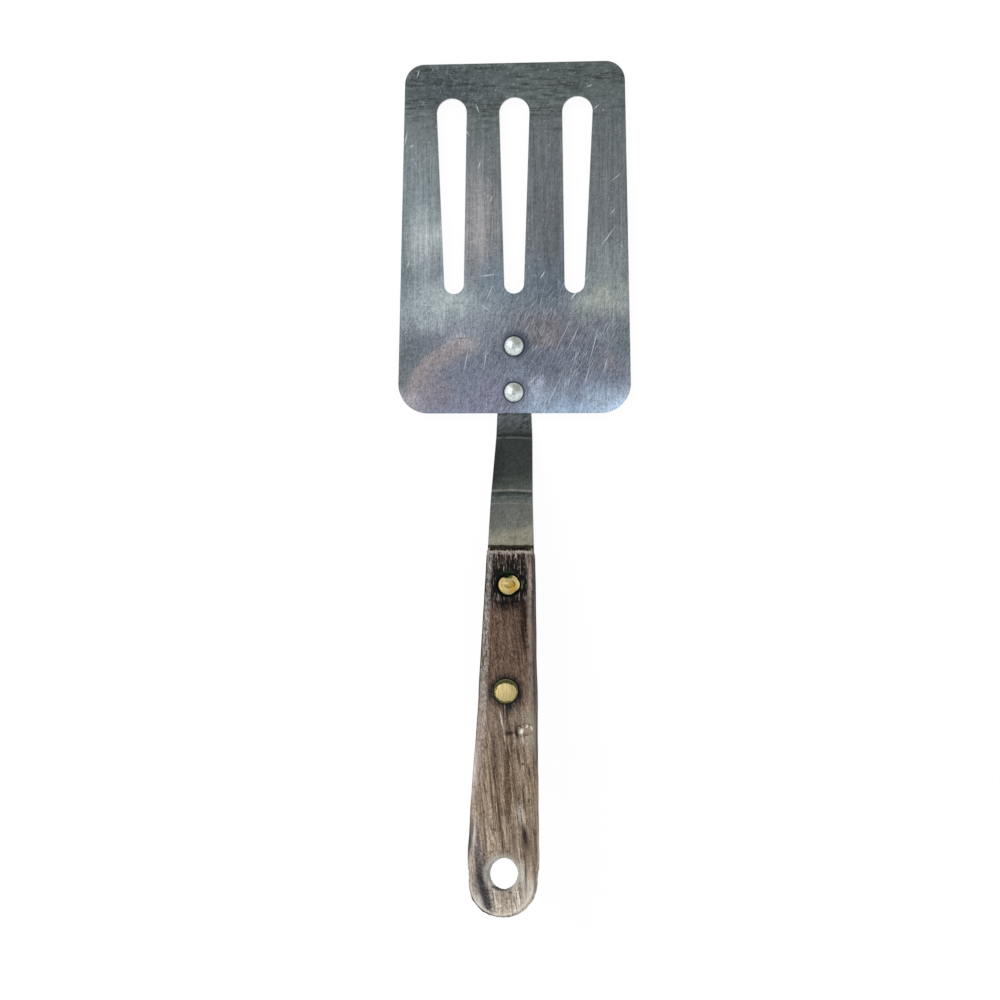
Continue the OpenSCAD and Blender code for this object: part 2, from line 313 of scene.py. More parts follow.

# Heat tints, worn or greasy areas and painted reflections: centre, half size, turn, colour and strength
dragged = steel.shifted(9 * (cloud - 0.5), 16 * (cloud - 0.5) + 12 * (grain - 0.5))
for centre, half_size, turn, tint, strength in (
    ((-24, 108), (30, 13), 0, paint(62, 69, 73), 0.85),
    ((-32, 70), (17, 32), 0, paint(117, 127, 131), 0.9),
    ((-31, 59), (16, 16), 0, paint(158, 166, 169), 0.9),
    ((-23, 37), (24, 14), 0, paint(156, 166, 169), 0.95),
    ((-39, 66), (9, 46), 0, paint(98, 110, 113), 0.95),
    ((-12, 62), (9.5, 30), 0, paint(144, 142, 144), 0.95),
    ((-7, 44), (10, 13), 0, paint(104, 116, 127), 0.95),
    ((12, 68), (10, 44), 0, paint(92, 96, 101), 0.9),
    ((13, 41), (14, 14), 0, paint(88, 99, 109), 0.9),
    ((32, 50), (14, 17), 0, paint(126, 134, 136), 0.85),
    # A greenish painted highlight right of the middle
    ((29.5, 37.5), (17, 9.5), 4, paint(150, 157, 151), 0.95),
    ((38, 25), (10, 10), 0, paint(92, 103, 106), 0.9),
    ((-37, 20), (10, 17), 0, paint(94, 104, 106), 0.9),
    ((10.5, 27), (15, 8.5), -12, paint(105, 97, 102), 0.85),
    ((31.5, 16.5), (7, 5), -20, paint(124, 119, 123), 0.7),
    ((8, 30), (10, 8), 0, paint(98, 97, 106), 0.6),
    ((22, 20), (12, 9), 0, paint(84, 90, 104), 0.8),
    ((-12, 20), (12, 9), 0, paint(98, 106, 121), 0.7),
    ((-14, 28), (13, 10), 0, paint(124, 131, 142), 0.9),
    ((12, 17), (22, 9), 0, paint(92, 99, 114), 0.8),
    ((2, 12), (4, 8), 0, paint(130, 140, 158), 0.5),
    ((-6, 6), (12, 8), 0, paint(118, 115, 136), 0.7),
    ((-37, 3), (14, 9), 20, paint(158, 155, 163), 0.9),
    # The next two are a painted reflection of the light, blue and white across the rear right
    ((17, 1), (24, 9), 0, paint(150, 170, 194), 1.0),
    ((38, 0), (26, 13), 24, paint(190, 212, 236), 0.88),
    ((-27, 7.5), (13, 10), 0, paint(124, 119, 127), 0.8),
    ((-38, 11.5), (7, 10), 0, paint(102, 108, 112), 0.95),
    ((-38, 98), (7, 15), 0, paint(92, 100, 102), 0.95),
    ((-37, 31), (6, 11), 0, paint(156, 166, 168), 0.35),
    ((-18.5, 24), (6.5, 4), 14, paint(180, 180, 186), 0.7),
    ((40, 8), (4, 7), 0, paint(134, 145, 160), 0.6),
    ((6.8, 8), (6, 6), 0, paint(158, 166, 186), 0.8),
    ((-2, 1.5), (8, 4), 0, paint(98, 102, 116), 0.7),
    ((-4, 22.5), (4.5, 7), 0, paint(84, 93, 104), 0.75),
    ((6, 22), (6, 6), 0, paint(84, 91, 104), 0.75),
):
    spot = steel.rise(steel.spot(centre, half_size, turn, dragged), 0.0, 1.0)
    colour = steel.mix(strength * spot, colour, tint)

# A brown arc of heat tint with a thin dark rim, round a point left of the rivets
arc_distance = steel.distance((-12, 0)) + 2 * (cloud - 0.5)
arc_side = steel.fall(steel.x, -18, -8) * steel.rise(steel.y, 2, 11)
arc = steel.rise(arc_distance, 16, 23.5) * steel.fall(arc_distance, 24.8, 26.4) * arc_side
colour = steel.mix(0.62 * arc, colour, paint(147, 136, 136))
rim = steel.line((-23.0, 24.6), (-12.5, 25.6), 0.3)
colour = steel.mix(0.7 * rim, colour, paint(62, 58, 62))

# Food has been wiped across the front in short level smears
front = steel.rise(steel.y + 8 * (cloud - 0.5), 86, 104)
smear = steel.rise(steel.noise((5, 0.5, 7), detail=3, roughness=0.6), 0.42, 0.60)
smear_here = steel.rise(steel.noise((12, 4, 9), detail=2, offset=4), 0.40, 0.60)
colour = steel.mix(0.85 * smear * smear_here * front, colour, paint(50, 56, 55))
colour = steel.mix(0.2 * steel.rise(blotch, 0.5, 0.66) * front, colour, paint(122, 128, 128))
colour = steel.mix(0.6 * steel.spot((20.5, 108), (4.5, 3.5)), colour, paint(46, 52, 50))

# The brushing shows most on the bars between the slots, and scouring towards the rear
worn_rear = steel.fall(steel.y, 20, 70)
brushed = (1 - 0.75 * front) * (1 - 0.7 * worn_rear)
texture = brushed * (1.3 * (grain - 0.5) + 0.8 * (brush - 0.5))
texture = texture + (1.1 + 0.6 * worn_rear) * (mottle - 0.5) + 0.5 * (blotch - 0.5)
texture = texture + (0.5 + 0.5 * worn_rear) * (strokes - 0.5) + 0.7 * worn_rear * (cross_strokes - 0.5)
colour = steel.dim(colour, 0.96 + texture)
speck = steel.rise(steel.noise((0.4, 0.4, 1), detail=0, offset=31), 0.80, 0.85)
colour = steel.mix(0.6 * speck, colour, paint(196, 202, 200))
dash = steel.rise(steel.noise((0.26, 1.1, 1), -8, detail=1, offset=57), 0.64, 0.74)
colour = steel.mix(0.3 * dash * worn_rear, colour, paint(186, 194, 197))

# Scratches: hairlines in four directions, most towards the rear right, and single deeper ones
clusters = steel.rise(steel.noise((9, 9, 9), detail=1, offset=44), 0.40, 0.62)
rear_right = steel.fall(steel.y, 26, 60) * steel.rise(steel.x, -30, 14)
scratches = 0
for size, turn, offset, low, strength in (
    ((0.22, 6, 1), -25, 7, 0.605, 0.36),
    ((0.2, 4.5, 1), -38, 19, 0.610, 0.36),
    ((0.2, 5, 1), -10, 23, 0.615, 0.34),
    ((0.22, 4, 1), 35, 29, 0.640, 0.26),
):
    hairlines = steel.rise(steel.noise(size, turn, 1, 0.5, offset), low, low + 0.09)
    scratches = scratches + strength * hairlines * (0.14 + 0.86 * rear_right) * (0.5 + 0.5 * clusters)
for start, end, half_width in (
    ((26.4, 48.1), (19.3, 38.0), 0.30), ((21.3, 40.8), (18.3, 37.1), 0.30),
    ((34.2, 62.5), (28.4, 54.6), 0.25), ((4.4, 50.8), (1.5, 46.8), 0.24),
    ((10.5, 47.5), (8.6, 44.4), 0.27), ((-12.4, 45.6), (-5.4, 46.4), 0.27),
    ((-34.7, 51.8), (-36.4, 48.2), 0.22), ((-6.6, 43.6), (-9.6, 37.2), 0.20),
    ((8.6, 13.5), (4.0, 8.4), 0.25), ((-9.0, 23.2), (-10.2, 13.1), 0.18),
    ((-14.8, 24.3), (-17.2, 11.6), 0.18), ((16.8, 14.6), (10.4, 0.7), 0.20),
    ((25.6, 16.4), (23.0, 7.8), 0.22), ((28.4, 29.3), (24.7, 15.2), 0.20),
    ((28.5, 102.5), (26.1, 100.4), 0.24), ((-12.9, 103.5), (-11.7, 99.7), 0.22),
    ((-16.9, 95.0), (-14.6, 92.2), 0.20), ((-31.7, 115.4), (-32.9, 112.0), 0.20),
    ((26.2, 109.0), (23.8, 107.9), 0.25), ((-33.6, 90.0), (-35.4, 88.9), 0.25),
    ((31.2, 18.6), (29.8, 12.8), 0.20), ((-11.9, 37.0), (-7.1, 33.2), 0.18),
    ((33.9, 68.0), (31.9, 65.6), 0.22), ((20.0, 33.0), (14.0, 21.0), 0.16),
    ((36.0, 79.8), (31.6, 76.2), 0.18), ((-35.8, 95.2), (-37.0, 89.0), 0.18),
    ((-11.2, 84.4), (-12.2, 81.0), 0.20), ((3.0, 96.8), (4.4, 92.6), 0.18),
    ((-7.0, 72.8), (-8.2, 70.2), 0.20), ((22.5, 30.5), (17.5, 20.2), 0.18),
):
    scratches = scratches + 0.75 * steel.line(start, end, half_width)
colour = steel.mix(scratches, colour, paint(200, 209, 211))

# Grease and painted shade darken a patch round each rivet, a thin painted shadow rings each head, and
# the rounded edges are pale with polish from wear and a painted highlight
for centre, grease_and_shade in (((0.0, 7.05), 0.5), ((0.05, 22.45), 0.8)):
    from_rivet = steel.distance(centre)
    shade = steel.distance((centre[0] + 0.7, centre[1] + 0.5)) + 2.2 * (cloud - 0.5)
    colour = steel.mix(grease_and_shade * steel.fall(shade, 3.2, 6.0), colour, paint(62, 68, 82))
    # A thin painted shadow where each head meets the blade
    colour = steel.mix(0.85 * steel.fall(from_rivet, 3.3, 3.95), colour, paint(22, 26, 32))
facing = steel.node("ShaderNodeTexCoord", {}, {}, "Normal")
upward = steel.node("ShaderNodeSeparateXYZ", {}, {"Vector": facing}, "Z")
# A painted highlight on the rounded edges, which wear has also polished
edge_highlight = steel.fall(abs(upward), 0.35, 0.95) * (0.35 + 0.65 * steel.rise(mottle, 0.35, 0.6))
colour = steel.mix(0.6 * edge_highlight, colour, paint(196, 204, 204))
steel.set("Base Color", colour)
steel.set("Roughness", 0.3 + 0.2 * mottle)
steel.bump(0.6 * grain + 0.2 * mottle - 0.4 * scratches, 0.02)
dress(blade, steel, "blade_steel", "blade")

# Shank
# One strip of steel, riveted under the blade, cranked up in two bends and set into the handle as a tang.
# It was never polished. Along its length its tone holds painted reflections, dark on the rise and pale
# and yellowish next to the wood, and a dark line where it enters the wood is painted shadow and grease.
shank_edge_round = 0.3 * mm
shank_seen = 45
shank = joined_copy("shank", "cranked_shank")
round_edges(shank, shank_edge_round, 3)

strip = Finish("shank_steel", Metallic=1.0)
blur = strip.noise((5, 4, 4), detail=2)
# Painted reflections along the strip: pale and yellowish by the wood, dark on the rise
colour = strip.node(
    "ShaderNodeValToRGB",
    {"stops": [
        (0.0, paint(126, 124, 110)), (0.115, paint(130, 128, 114)), (0.18, paint(98, 100, 94)),
        (0.28, paint(92, 94, 90)), (0.40, paint(86, 89, 85)), (0.46, paint(72, 76, 72)),
        (0.54, paint(56, 60, 58)), (0.83, paint(53, 57, 56)), (1.0, paint(88, 93, 97)),
    ]},
    {"Fac": (strip.y - 0.2 * strip.x + 4 * (blur - 0.5) + shank_seen) / shank_seen},
)
scale_marks = strip.noise((0.5, 0.7, 1), detail=4, roughness=0.75)
draw_lines = strip.noise((0.4, 16, 1), detail=3, roughness=0.65)
wear = strip.noise((2.2, 0.9, 1.5), 28, detail=4, roughness=0.7, offset=7)
left_shade = strip.fall(strip.x, -7, -1)
foot = strip.rise(strip.y, -26, -22)
foot_shade = left_shade * foot * strip.fall(strip.y, -14, -8)
colour = strip.mix(0.6 * foot_shade, colour, paint(34, 38, 37))
rear_shade = left_shade * (1 - foot) * strip.rise(strip.y, -40, -36)
colour = strip.mix(0.3 * rear_shade, colour, paint(66, 72, 68))
heel = strip.rise(strip.y, -8.5, -5)
texture = 1.8 * (scale_marks - 0.5) + 0.7 * (draw_lines - 0.5) + (1.0 + 2.0 * heel) * (wear - 0.5)
colour = strip.dim(colour, 0.97 + texture)

# Painted highlights and painted shade as thin lines at the bends, and a scaly dark band behind the rise
bowed = strip.y + 0.007 * strip.x ** 2 + 0.5 * (blur - 0.5)
for y, half_width, tint, strength in (
    (-7.2, 0.9, paint(34, 37, 36), 0.6),
    (-8.1, 0.45, paint(98, 102, 97), 0.35),
    (-25.6, 0.45, paint(128, 128, 122), 0.6),
    (-26.5, 0.55, paint(36, 38, 34), 0.85),
    (-27.8, 0.5, paint(110, 128, 124), 0.5),
    (-29.9, 0.4, paint(116, 118, 112), 0.35),
):
    line = strip.fall(abs(bowed - y), 0.1, half_width)
    colour = strip.mix(strength * line * (0.45 + strip.rise(wear, 0.38, 0.62)), colour, tint)
scaly = strip.rise(strip.y, -29.2, -28.0) * strip.fall(strip.y, -26.6, -26.0)
colour = strip.mix(0.8 * scaly * strip.rise(wear, 0.38, 0.56), colour, paint(46, 56, 53))
stain = strip.spot((0.6, -41.2), (2.0, 1.4))
colour = strip.mix(0.5 * stain, colour, paint(84, 82, 70))
# A dark line just ahead of the wood: painted shadow under the wood's front edge, with some grease
joint_shadow_and_grease = strip.fall(strip.y + 0.8 * (wear - 0.5), -43.75, -43.35)
colour = strip.mix(0.9 * joint_shadow_and_grease, colour, paint(30, 24, 16))
strip.set("Base Color", colour)
strip.set("Roughness", 0.38 + 0.2 * scale_marks)
strip.bump(0.5 * draw_lines + 0.5 * scale_marks, 0.03)
dress(shank, strip, "shank_steel", "shank")

# Steel rivets
# Two solid rivets hold the strip under the blade. Their domed heads are on top, each with the small
# dimple of the punch, and their tails are hammered flush into countersinks underneath.
rivet_sides = 64
rivet_head_radius = 3.175
rivet_head_height = 1.3
rivet_body_radius = 1.6
rivet_tail_radius = 2.455
rivet_tail_low = 0.05
rivet_tail_high = 1.0
blade_surface = 3.6
rivet_places = {"blade_rivet_front": 22.4, "blade_rivet_rear": 7.0}


def turned(name, profile, place):
    """A solid turned on its own axis, from a profile of (radius, height) in millimetres, from below."""
    radius, height = profile[0]
    bpy.ops.mesh.primitive_circle_add(
        vertices=rivet_sides, radius=radius * mm, fill_type="NGON", location=(0, 0, 0)
    )
    piece = bpy.context.object
    piece.name = name
    bpy.ops.object.mode_set(mode="EDIT")
    bpy.ops.transform.translate(value=(0, 0, height * mm))
    for next_radius, next_height in profile[1:]:
        step = (0, 0, (next_height - height) * mm)
        bpy.ops.mesh.extrude_region_move(TRANSFORM_OT_translate={"value": step})
        size = next_radius / radius
        bpy.ops.transform.resize(value=(size, size, 1), center_override=(0, 0, next_height * mm))
        radius, height = next_radius, next_height
    bpy.ops.mesh.select_all(action="SELECT")
    bpy.ops.mesh.normals_make_consistent(inside=False)
    bpy.ops.object.mode_set(mode="OBJECT")
    piece.data.transform(place)
    return piece


dome_radius = (rivet_head_radius ** 2 + rivet_head_height ** 2) / (2 * rivet_head_height)
dome_top = blade_surface + rivet_head_height
dome = [
    (radius, dome_top - dome_radius + sqrt(dome_radius ** 2 - radius ** 2))
    for radius in (3.12, 3.02, 2.86, 2.6, 2.3, 1.95, 1.6, 1.25, 0.9, 0.66)
]
punch_mark = [
    (radius, dome_top - depth)
    for radius, depth in ((0.54, 0.05), (0.45, 0.1), (0.3, 0.2), (0.1, 0.25))
]
rivet_profile = (
    [
        (rivet_tail_radius, rivet_tail_low),
        (rivet_body_radius, rivet_tail_high),
        (rivet_body_radius, blade_surface),
        (rivet_head_radius - 0.1, blade_surface),
        (rivet_head_radius, blade_surface + 0.04),
    ]
    + dome
    + punch_mark
)

bright = Finish("rivet_steel", Metallic=1.0)
pounding = bright.noise((0.7, 0.7, 0.7), detail=3, roughness=0.65)
colour = bright.mix(bright.rise(pounding, 0.35, 0.6), paint(180, 189, 191), paint(228, 235, 237))
uneven = bright.shifted(2.6 * (pounding - 0.5), 1.6 * (pounding - 0.5))
for y in rivet_places.values():
    # Painted shade over the upper right of each dome
    dome_shade = bright.spot((0.8, y + 1.5), (3.0, 2.2), -28, uneven)
    colour = bright.mix(0.85 * bright.rise(dome_shade, 0.0, 0.7), colour, paint(138, 142, 132))
    # Painted shade round the dome's steep rim
    away = bright.distance((0, y))
    rim = bright.rise(away, 2.85, 3.15) * bright.fall(away, 3.3, 3.4)
    colour = bright.mix(0.5 * rim, colour, paint(104, 112, 112))
    # Painted shade in the punch's dimple
    mark = bright.fall(bright.distance((0.1, y - 0.5)), 0.3, 0.9)
    colour = bright.mix(0.65 * mark, colour, paint(118, 124, 126))
bright.set("Base Color", colour)
bright.set("Roughness", 0.28 + 0.2 * pounding)
bright.bump(pounding, 0.06)
for node, y in rivet_places.items():
    rivet = turned("domed_" + node, rivet_profile, Matrix.Translation((0, y * mm, 0)))
    smooth(rivet, 50)
    dress(rivet, bright, "rivet_steel", node)

# Handle
# One stick of hardwood, sawn along its middle for the tang, rounded by use and drilled for a hook. Water
# has greyed its edges, raised its grain and opened a crack, and burnt fat has blackened its front. Painted
# highlight and shade lie on its rounded edges and its front edge as well.
wrist = Vector((0, -44.812, 13.7433)) * mm
handle_tilt = radians(12)
handle_turn = (handle_tilt, 0, pi)
handle_frame = (
    Matrix.Translation(wrist) @ Matrix.Rotation(pi, 4, "Z") @ Matrix.Rotation(handle_tilt, 4, "X")
)
handle_length = 118
front_half_width = 7.8
widening = 3.6 / 99.5
brass_places = {"front": 13.0, "rear": 47.3}
seat_reach = 4.2
hole_along = 104.3
butt_centre = 107.2
butt_radius = 10.9
grain_lean = 6.0
wood_voxel = 0.36 * mm

handle = joined_copy("handle", "weathered_handle")
handle.data.transform(handle_frame.inverted())
modify(handle, "REMESH", mode="VOXEL", voxel_size=wood_voxel, use_smooth_shade=True)
modify(handle, "SMOOTH", factor=0.5, iterations=2)


def press(piece, depth, weight, texture=None, empty=None):
    """Moves a surface inwards by a depth in millimetres times the weight of (across, along, up)."""
    group = piece.vertex_groups.new(name="press")
    for vertex in piece.data.vertices:
        x, y, z = vertex.co / mm
        amount = weight(-x, y, z)
        if amount > 0.01:
            group.add([vertex.index], min(amount, 1.0), "REPLACE")
    settings = {"strength": -depth * mm, "mid_level": 0.0, "vertex_group": group.name}
    if texture:
        settings.update(texture=texture, texture_coords="OBJECT", texture_coords_object=empty)
    modify(piece, "DISPLACE", **settings)
    piece.vertex_groups.clear()


def fibres(name, width, contrast):
    """A cloudy texture with blotches of a width in millimetres."""
    texture = bpy.data.textures.new(name, "CLOUDS")
    texture.noise_scale = width * mm
    texture.noise_depth = 2
    texture.contrast = contrast
    return texture


def guide(name, stretch, lean):
    """An empty that stretches and turns a texture along the wood's grain."""
    bpy.ops.object.empty_add(rotation=(0, 0, radians(lean)))
    empty = bpy.context.object
    empty.name = name
    empty.scale = (1, stretch, 1)
    bpy.context.view_layer.update()
    return empty


along_grain = guide("along_grain", 22, grain_lean)
no_grain = guide("no_grain", 1, 0)


def near(value, centre, reach):
    """A bell from 1 at a centre to almost 0 at twice the reach."""
    return exp(-((value - centre) / reach) ** 2)


def slope(value, low, high):
    """0 below low, 1 above high and a straight line between them."""
    return min(1.0, max(0.0, (value - low) / (high - low)))


def worn_left_edge(across, along, up):
    return slope(-across, 5.5, 7.0) * slope(-along, -78, -58)


def worn_right_edge(across, along, up):
    return slope(across, 6.5, 8.0) * slope(along, 50, 75)


def away_from_seats(across, along, up):
    """0 at the brass rivets' seats, so that their holes keep their size, and more towards the butt."""
    gaps = (max(0.0, hypot(across, along - place) - seat_reach) for place in brass_places.values())
    return min(1.0, *gaps) * (0.35 + 0.65 * min(1.0, along / 70))


def top_of_front(across, along, up):
    return near(along, 1.6, 1.0) * (up > 0)


def butt_rim(across, along, up):
    from_centre = hypot(across, along - butt_centre)
    return near(from_centre, butt_radius, 1.0) * (along > butt_centre - 4)


def knot(across, along, up):
    right = near(across, 3.2, 0.7) * near(along, 58.6, 1.2)
    left = near(across, 1.3, 1.0) * near(along, 60.6, 0.8)
    return max(right, left) * (up > 0)


def crack(lean, middle, side, width, reach, below):
    """The weight of a groove that leans across the grain, on the top and, where it says so, below."""

    def weight(across, along, up):
        beside = near(across - lean * (along - middle), side, width)
        return beside * near(along, middle, reach) * (up > 0 or below)

    return weight


press(handle, 0.05, lambda across, along, up: 1.0)
press(handle, 0.35, worn_left_edge)
press(handle, 0.25, worn_right_edge)
press(handle, 0.3, away_from_seats, fibres("furrows", 1.3, 1.6), along_grain)
press(handle, 0.3, top_of_front, fibres("chips", 0.9, 2.2), no_grain)
press(handle, 0.3, butt_rim, fibres("butt_wear", 2.2, 1.8), no_grain)
press(handle, 0.25, crack(0.1, 54.6, -0.2, 0.3, 4, below=True))
press(handle, 0.8, knot)
press(handle, 0.45, crack(0.105, 70, 5.1, 0.45, 11, below=False))
press(handle, 0.3, crack(0.145, 84, -0.95, 0.35, 13, below=False))
bpy.data.objects.remove(along_grain)
bpy.data.objects.remove(no_grain)
handle.data.transform(handle_frame)

wood = Finish("handle_wood", wrist, handle_turn, -1, Specular_IOR_Level=0.12)
across, along, up = wood.x, wood.y, wood.z
half_width = front_half_width + widening * along
left_gap = half_width + across - 0.35 * wood.fall(along, 58, 78)
right_gap = half_width - across - 0.25 * wood.rise(along, 50, 75)

# The stick's own streaks, from nearly black at the burnt front to tan at the butt
wavy = wood.shifted(1.6 * (wood.noise((3, 16, 4), -6, 1, offset=21) - 0.5), 0.0)
broad = wood.noise((2.4, 48, 4), -5, detail=2, place=wavy)
fine = wood.noise((0.8, 18, 1.2), -7, detail=3, roughness=0.65, offset=5, place=wavy)
short_fibre = wood.noise((0.4, 1.3, 0.5), -22, detail=3, roughness=0.65, offset=9, place=wavy)
long_fibre = wood.noise((0.42, 9, 0.5), -7.5, detail=3, roughness=0.6, offset=9, place=wavy)
rear_part = wood.rise(along, 46, 60)
fibre = short_fibre + rear_part * 0.75 * (long_fibre - short_fibre)
coarse = wood.noise((1.7, 30, 1.7), -8, detail=3, roughness=0.55, offset=12, place=wavy)
bands = fine + 0.65 * rear_part * (coarse - fine)
streak = wood.rise(0.25 * broad + 0.45 * bands + 0.3 * fibre, 0.40, 0.60)
light = wood.node(
    "ShaderNodeValToRGB",
    {"stops": [
        (0.0, paint(66, 49, 42)), (0.12, paint(80, 61, 52)), (0.2, paint(116, 94, 78)),
        (0.38, paint(124, 102, 86)), (0.5, paint(161, 142, 125)), (0.65, paint(178, 158, 135)),
        (0.8, paint(202, 184, 164)), (0.93, paint(212, 201, 186)), (0.985, paint(240, 231, 217)),
    ]},
    {"Fac": along / handle_length},
)
dark = wood.node(
    "ShaderNodeValToRGB",
    {"stops": [
        (0.0, paint(10, 4, 4)), (0.12, paint(16, 9, 9)), (0.2, paint(76, 56, 46)),
        (0.38, paint(76, 58, 48)), (0.5, paint(76, 60, 50)), (0.65, paint(98, 78, 60)),
        (0.8, paint(106, 88, 72)), (0.93, paint(128, 114, 101)), (0.985, paint(178, 166, 150)),
    ]},
    {"Fac": along / handle_length},
)
colour = wood.mix(streak, dark, light)
reddish = wood.rise(wood.noise((2.5, 5, 2), detail=2, offset=61), 0.45, 0.6)
reddish = wood.rise(broad, 0.48, 0.62) * reddish * (1 - rear_part)
colour = wood.mix(0.5 * reddish, colour, paint(92, 58, 44))
grit = wood.noise((0.4, 0.6, 0.5), -6, detail=2, roughness=0.8, offset=15)
texture = (1.5 - 0.1 * rear_part) * (fibre - 0.5) + (1.3 + 1.6 * rear_part) * (grit - 0.5)
colour = wood.dim(colour, 1.0 + texture)
rings = wood.noise((1.5, 44, 2), -7.5, detail=2, offset=65, place=wavy)
grain_lines = wood.fall(abs(rings - 0.5), 0.004, 0.028) * wood.rise(fine, 0.40, 0.60) * rear_part
colour = wood.mix(0.75 * grain_lines, colour, paint(70, 54, 42))
pores = wood.rise(wood.noise((0.3, 2.4, 0.3), -6, detail=1, offset=13, place=wavy), 0.62, 0.70)
colour = wood.mix(0.6 * pores, colour, paint(42, 30, 24))
splinters = wood.noise((0.32, 3.4, 0.4), -4, detail=2, roughness=0.6, offset=27, place=wavy)
splinters = wood.rise(splinters, 0.57, 0.67) * (1 - 0.85 * wood.rise(along, 17, 22))
colour = wood.mix(0.75 * splinters, colour, paint(196, 182, 168))
speck = wood.rise(wood.noise((0.36, 0.36, 0.36), detail=0, offset=71), 0.70, 0.78)
colour = wood.mix(0.4 * speck, colour, paint(184, 172, 160))

# Both long edges are paler, partly greyed by water and partly a painted highlight on their rounded sides,
# the left one most, and a thin dark line along each rim is painted shade
worn = wood.rise(wood.noise((0.6, 2.5, 0.8), detail=4, roughness=0.75, offset=17), 0.34, 0.60)
pitted = wood.rise(wood.noise((0.5, 1.0, 0.6), -10, detail=3, roughness=0.75, offset=83), 0.36, 0.62)
ragged_gap = left_gap + 1.6 * (fine - 0.5)
left_band = wood.rise(ragged_gap, 0.3, 0.9) * wood.fall(ragged_gap - 0.02 * along, 1.7, 2.7)
left_band = left_band * wood.fall(along, 66, 90)
grey = wood.mix(pitted, paint(108, 101, 96), paint(200, 195, 190))
warm = wood.mix(pitted, paint(150, 136, 128), paint(202, 188, 180))
colour = wood.mix(0.85 * left_band * worn, colour, wood.mix(wood.rise(along, 44, 60), grey, warm))
right_band = wood.rise(right_gap, 0.6, 1.2) * wood.fall(right_gap, 1.7, 2.9)
right_band = right_band * wood.fall(along, 50, 78)
colour = wood.mix(0.85 * right_band * worn, colour, paint(144, 134, 124))
left_rim_shade = wood.fall(left_gap, 0.1, 0.8) * wood.fall(along, 40, 70)
right_rim_shade = wood.fall(right_gap, 0.1, 0.8) * wood.fall(along, 60, 80)
colour = wood.mix(0.7 * (left_rim_shade + right_rim_shade), colour, paint(58, 52, 50))

# Burnt fat and verdigris round the brass rivets
front_seat = wood.distance((0, brass_places["front"]))
rear_seat = wood.distance((0, brass_places["rear"]))
soot = wood.fall(front_seat, 5.2, 10.2) * (1.4 - 0.7 * streak) * (1 - 0.7 * splinters)
soot = soot * (1 - 0.75 * left_band) * (1 - 0.6 * right_band)
colour = wood.mix(soot, colour, paint(10, 6, 6))
soot = wood.line((5.0, 14), (5.7, 37), 1.8) * (2.0 - 1.6 * streak)
colour = wood.mix(soot, colour, paint(36, 27, 25))
soot = wood.fall(rear_seat, 4.1, 6.8) * (1.35 - 0.8 * streak) * (1 - 0.8 * left_band)
colour = wood.mix(soot, colour, paint(30, 27, 29))
colour = wood.mix(0.8 * wood.spot((1.2, 52.6), (3, 3)), colour, paint(24, 26, 32))
for seat in (front_seat, rear_seat):
    colour = wood.mix(0.95 * wood.fall(seat, 3.9, 4.7), colour, paint(10, 16, 9))
colour = wood.mix(1.2 * wood.spot((-0.2, 9.2), (2.6, 1.6)), colour, paint(18, 42, 16))

# A burnt streak bends past the hanging hole
streak_line = across + 8.7 - 0.105 * (along - 89) - 2.4 * wood.rise(along, 103, 119)
streak_gap = abs(streak_line + 1.4 * (broad - 0.5) + 1.6 * (grit - 0.5))
burnt = wood.rise(along, 84, 102) * (1 - 0.4 * wood.rise(along, 112, 119))
burnt = wood.fall(streak_gap, 0.2, 2.9) * burnt * (1.9 - 1.2 * grit - 0.3 * fibre - 0.3 * pitted)
colour = wood.mix(burnt, colour, paint(84, 77, 82))
black_core = wood.rise(along, 98, 108) * wood.fall(along, 112, 118) * (2.1 - 2.4 * grit)
black_core = wood.fall(streak_gap, 0.2, 1.7) * black_core
colour = wood.mix(black_core, colour, paint(48, 48, 51))

# Broad stains on the top, through which the grain shows, as centre, half size, colour and strength
top_face = wood.rise(up, 2.0, 5.0)
for centre, half_size, tint, strength in (
    ((8.4, 98), (4.2, 11), paint(112, 94, 80), 0.7),
    ((8.6, 60), (3.0, 12), paint(166, 158, 144), 0.5),
    ((6.3, 104.5), (1.9, 6), paint(204, 201, 188), 0.75),
    ((3.6, 94), (2.6, 10), paint(112, 95, 82), 0.6),
    ((-1.2, 65.5), (2.4, 9), paint(104, 88, 74), 0.45),
    ((8.4, 111.0), (2.6, 8.0), paint(214, 205, 192), 0.7),
    ((-7.4, 114.0), (2.0, 4.0), paint(210, 203, 198), 0.9),
):
    patch = strength * top_face * wood.rise(wood.spot(centre, half_size), 0.0, 0.8)
    colour = wood.mix(patch, colour, wood.dim(tint, 0.1 + fibre + 0.8 * grit))

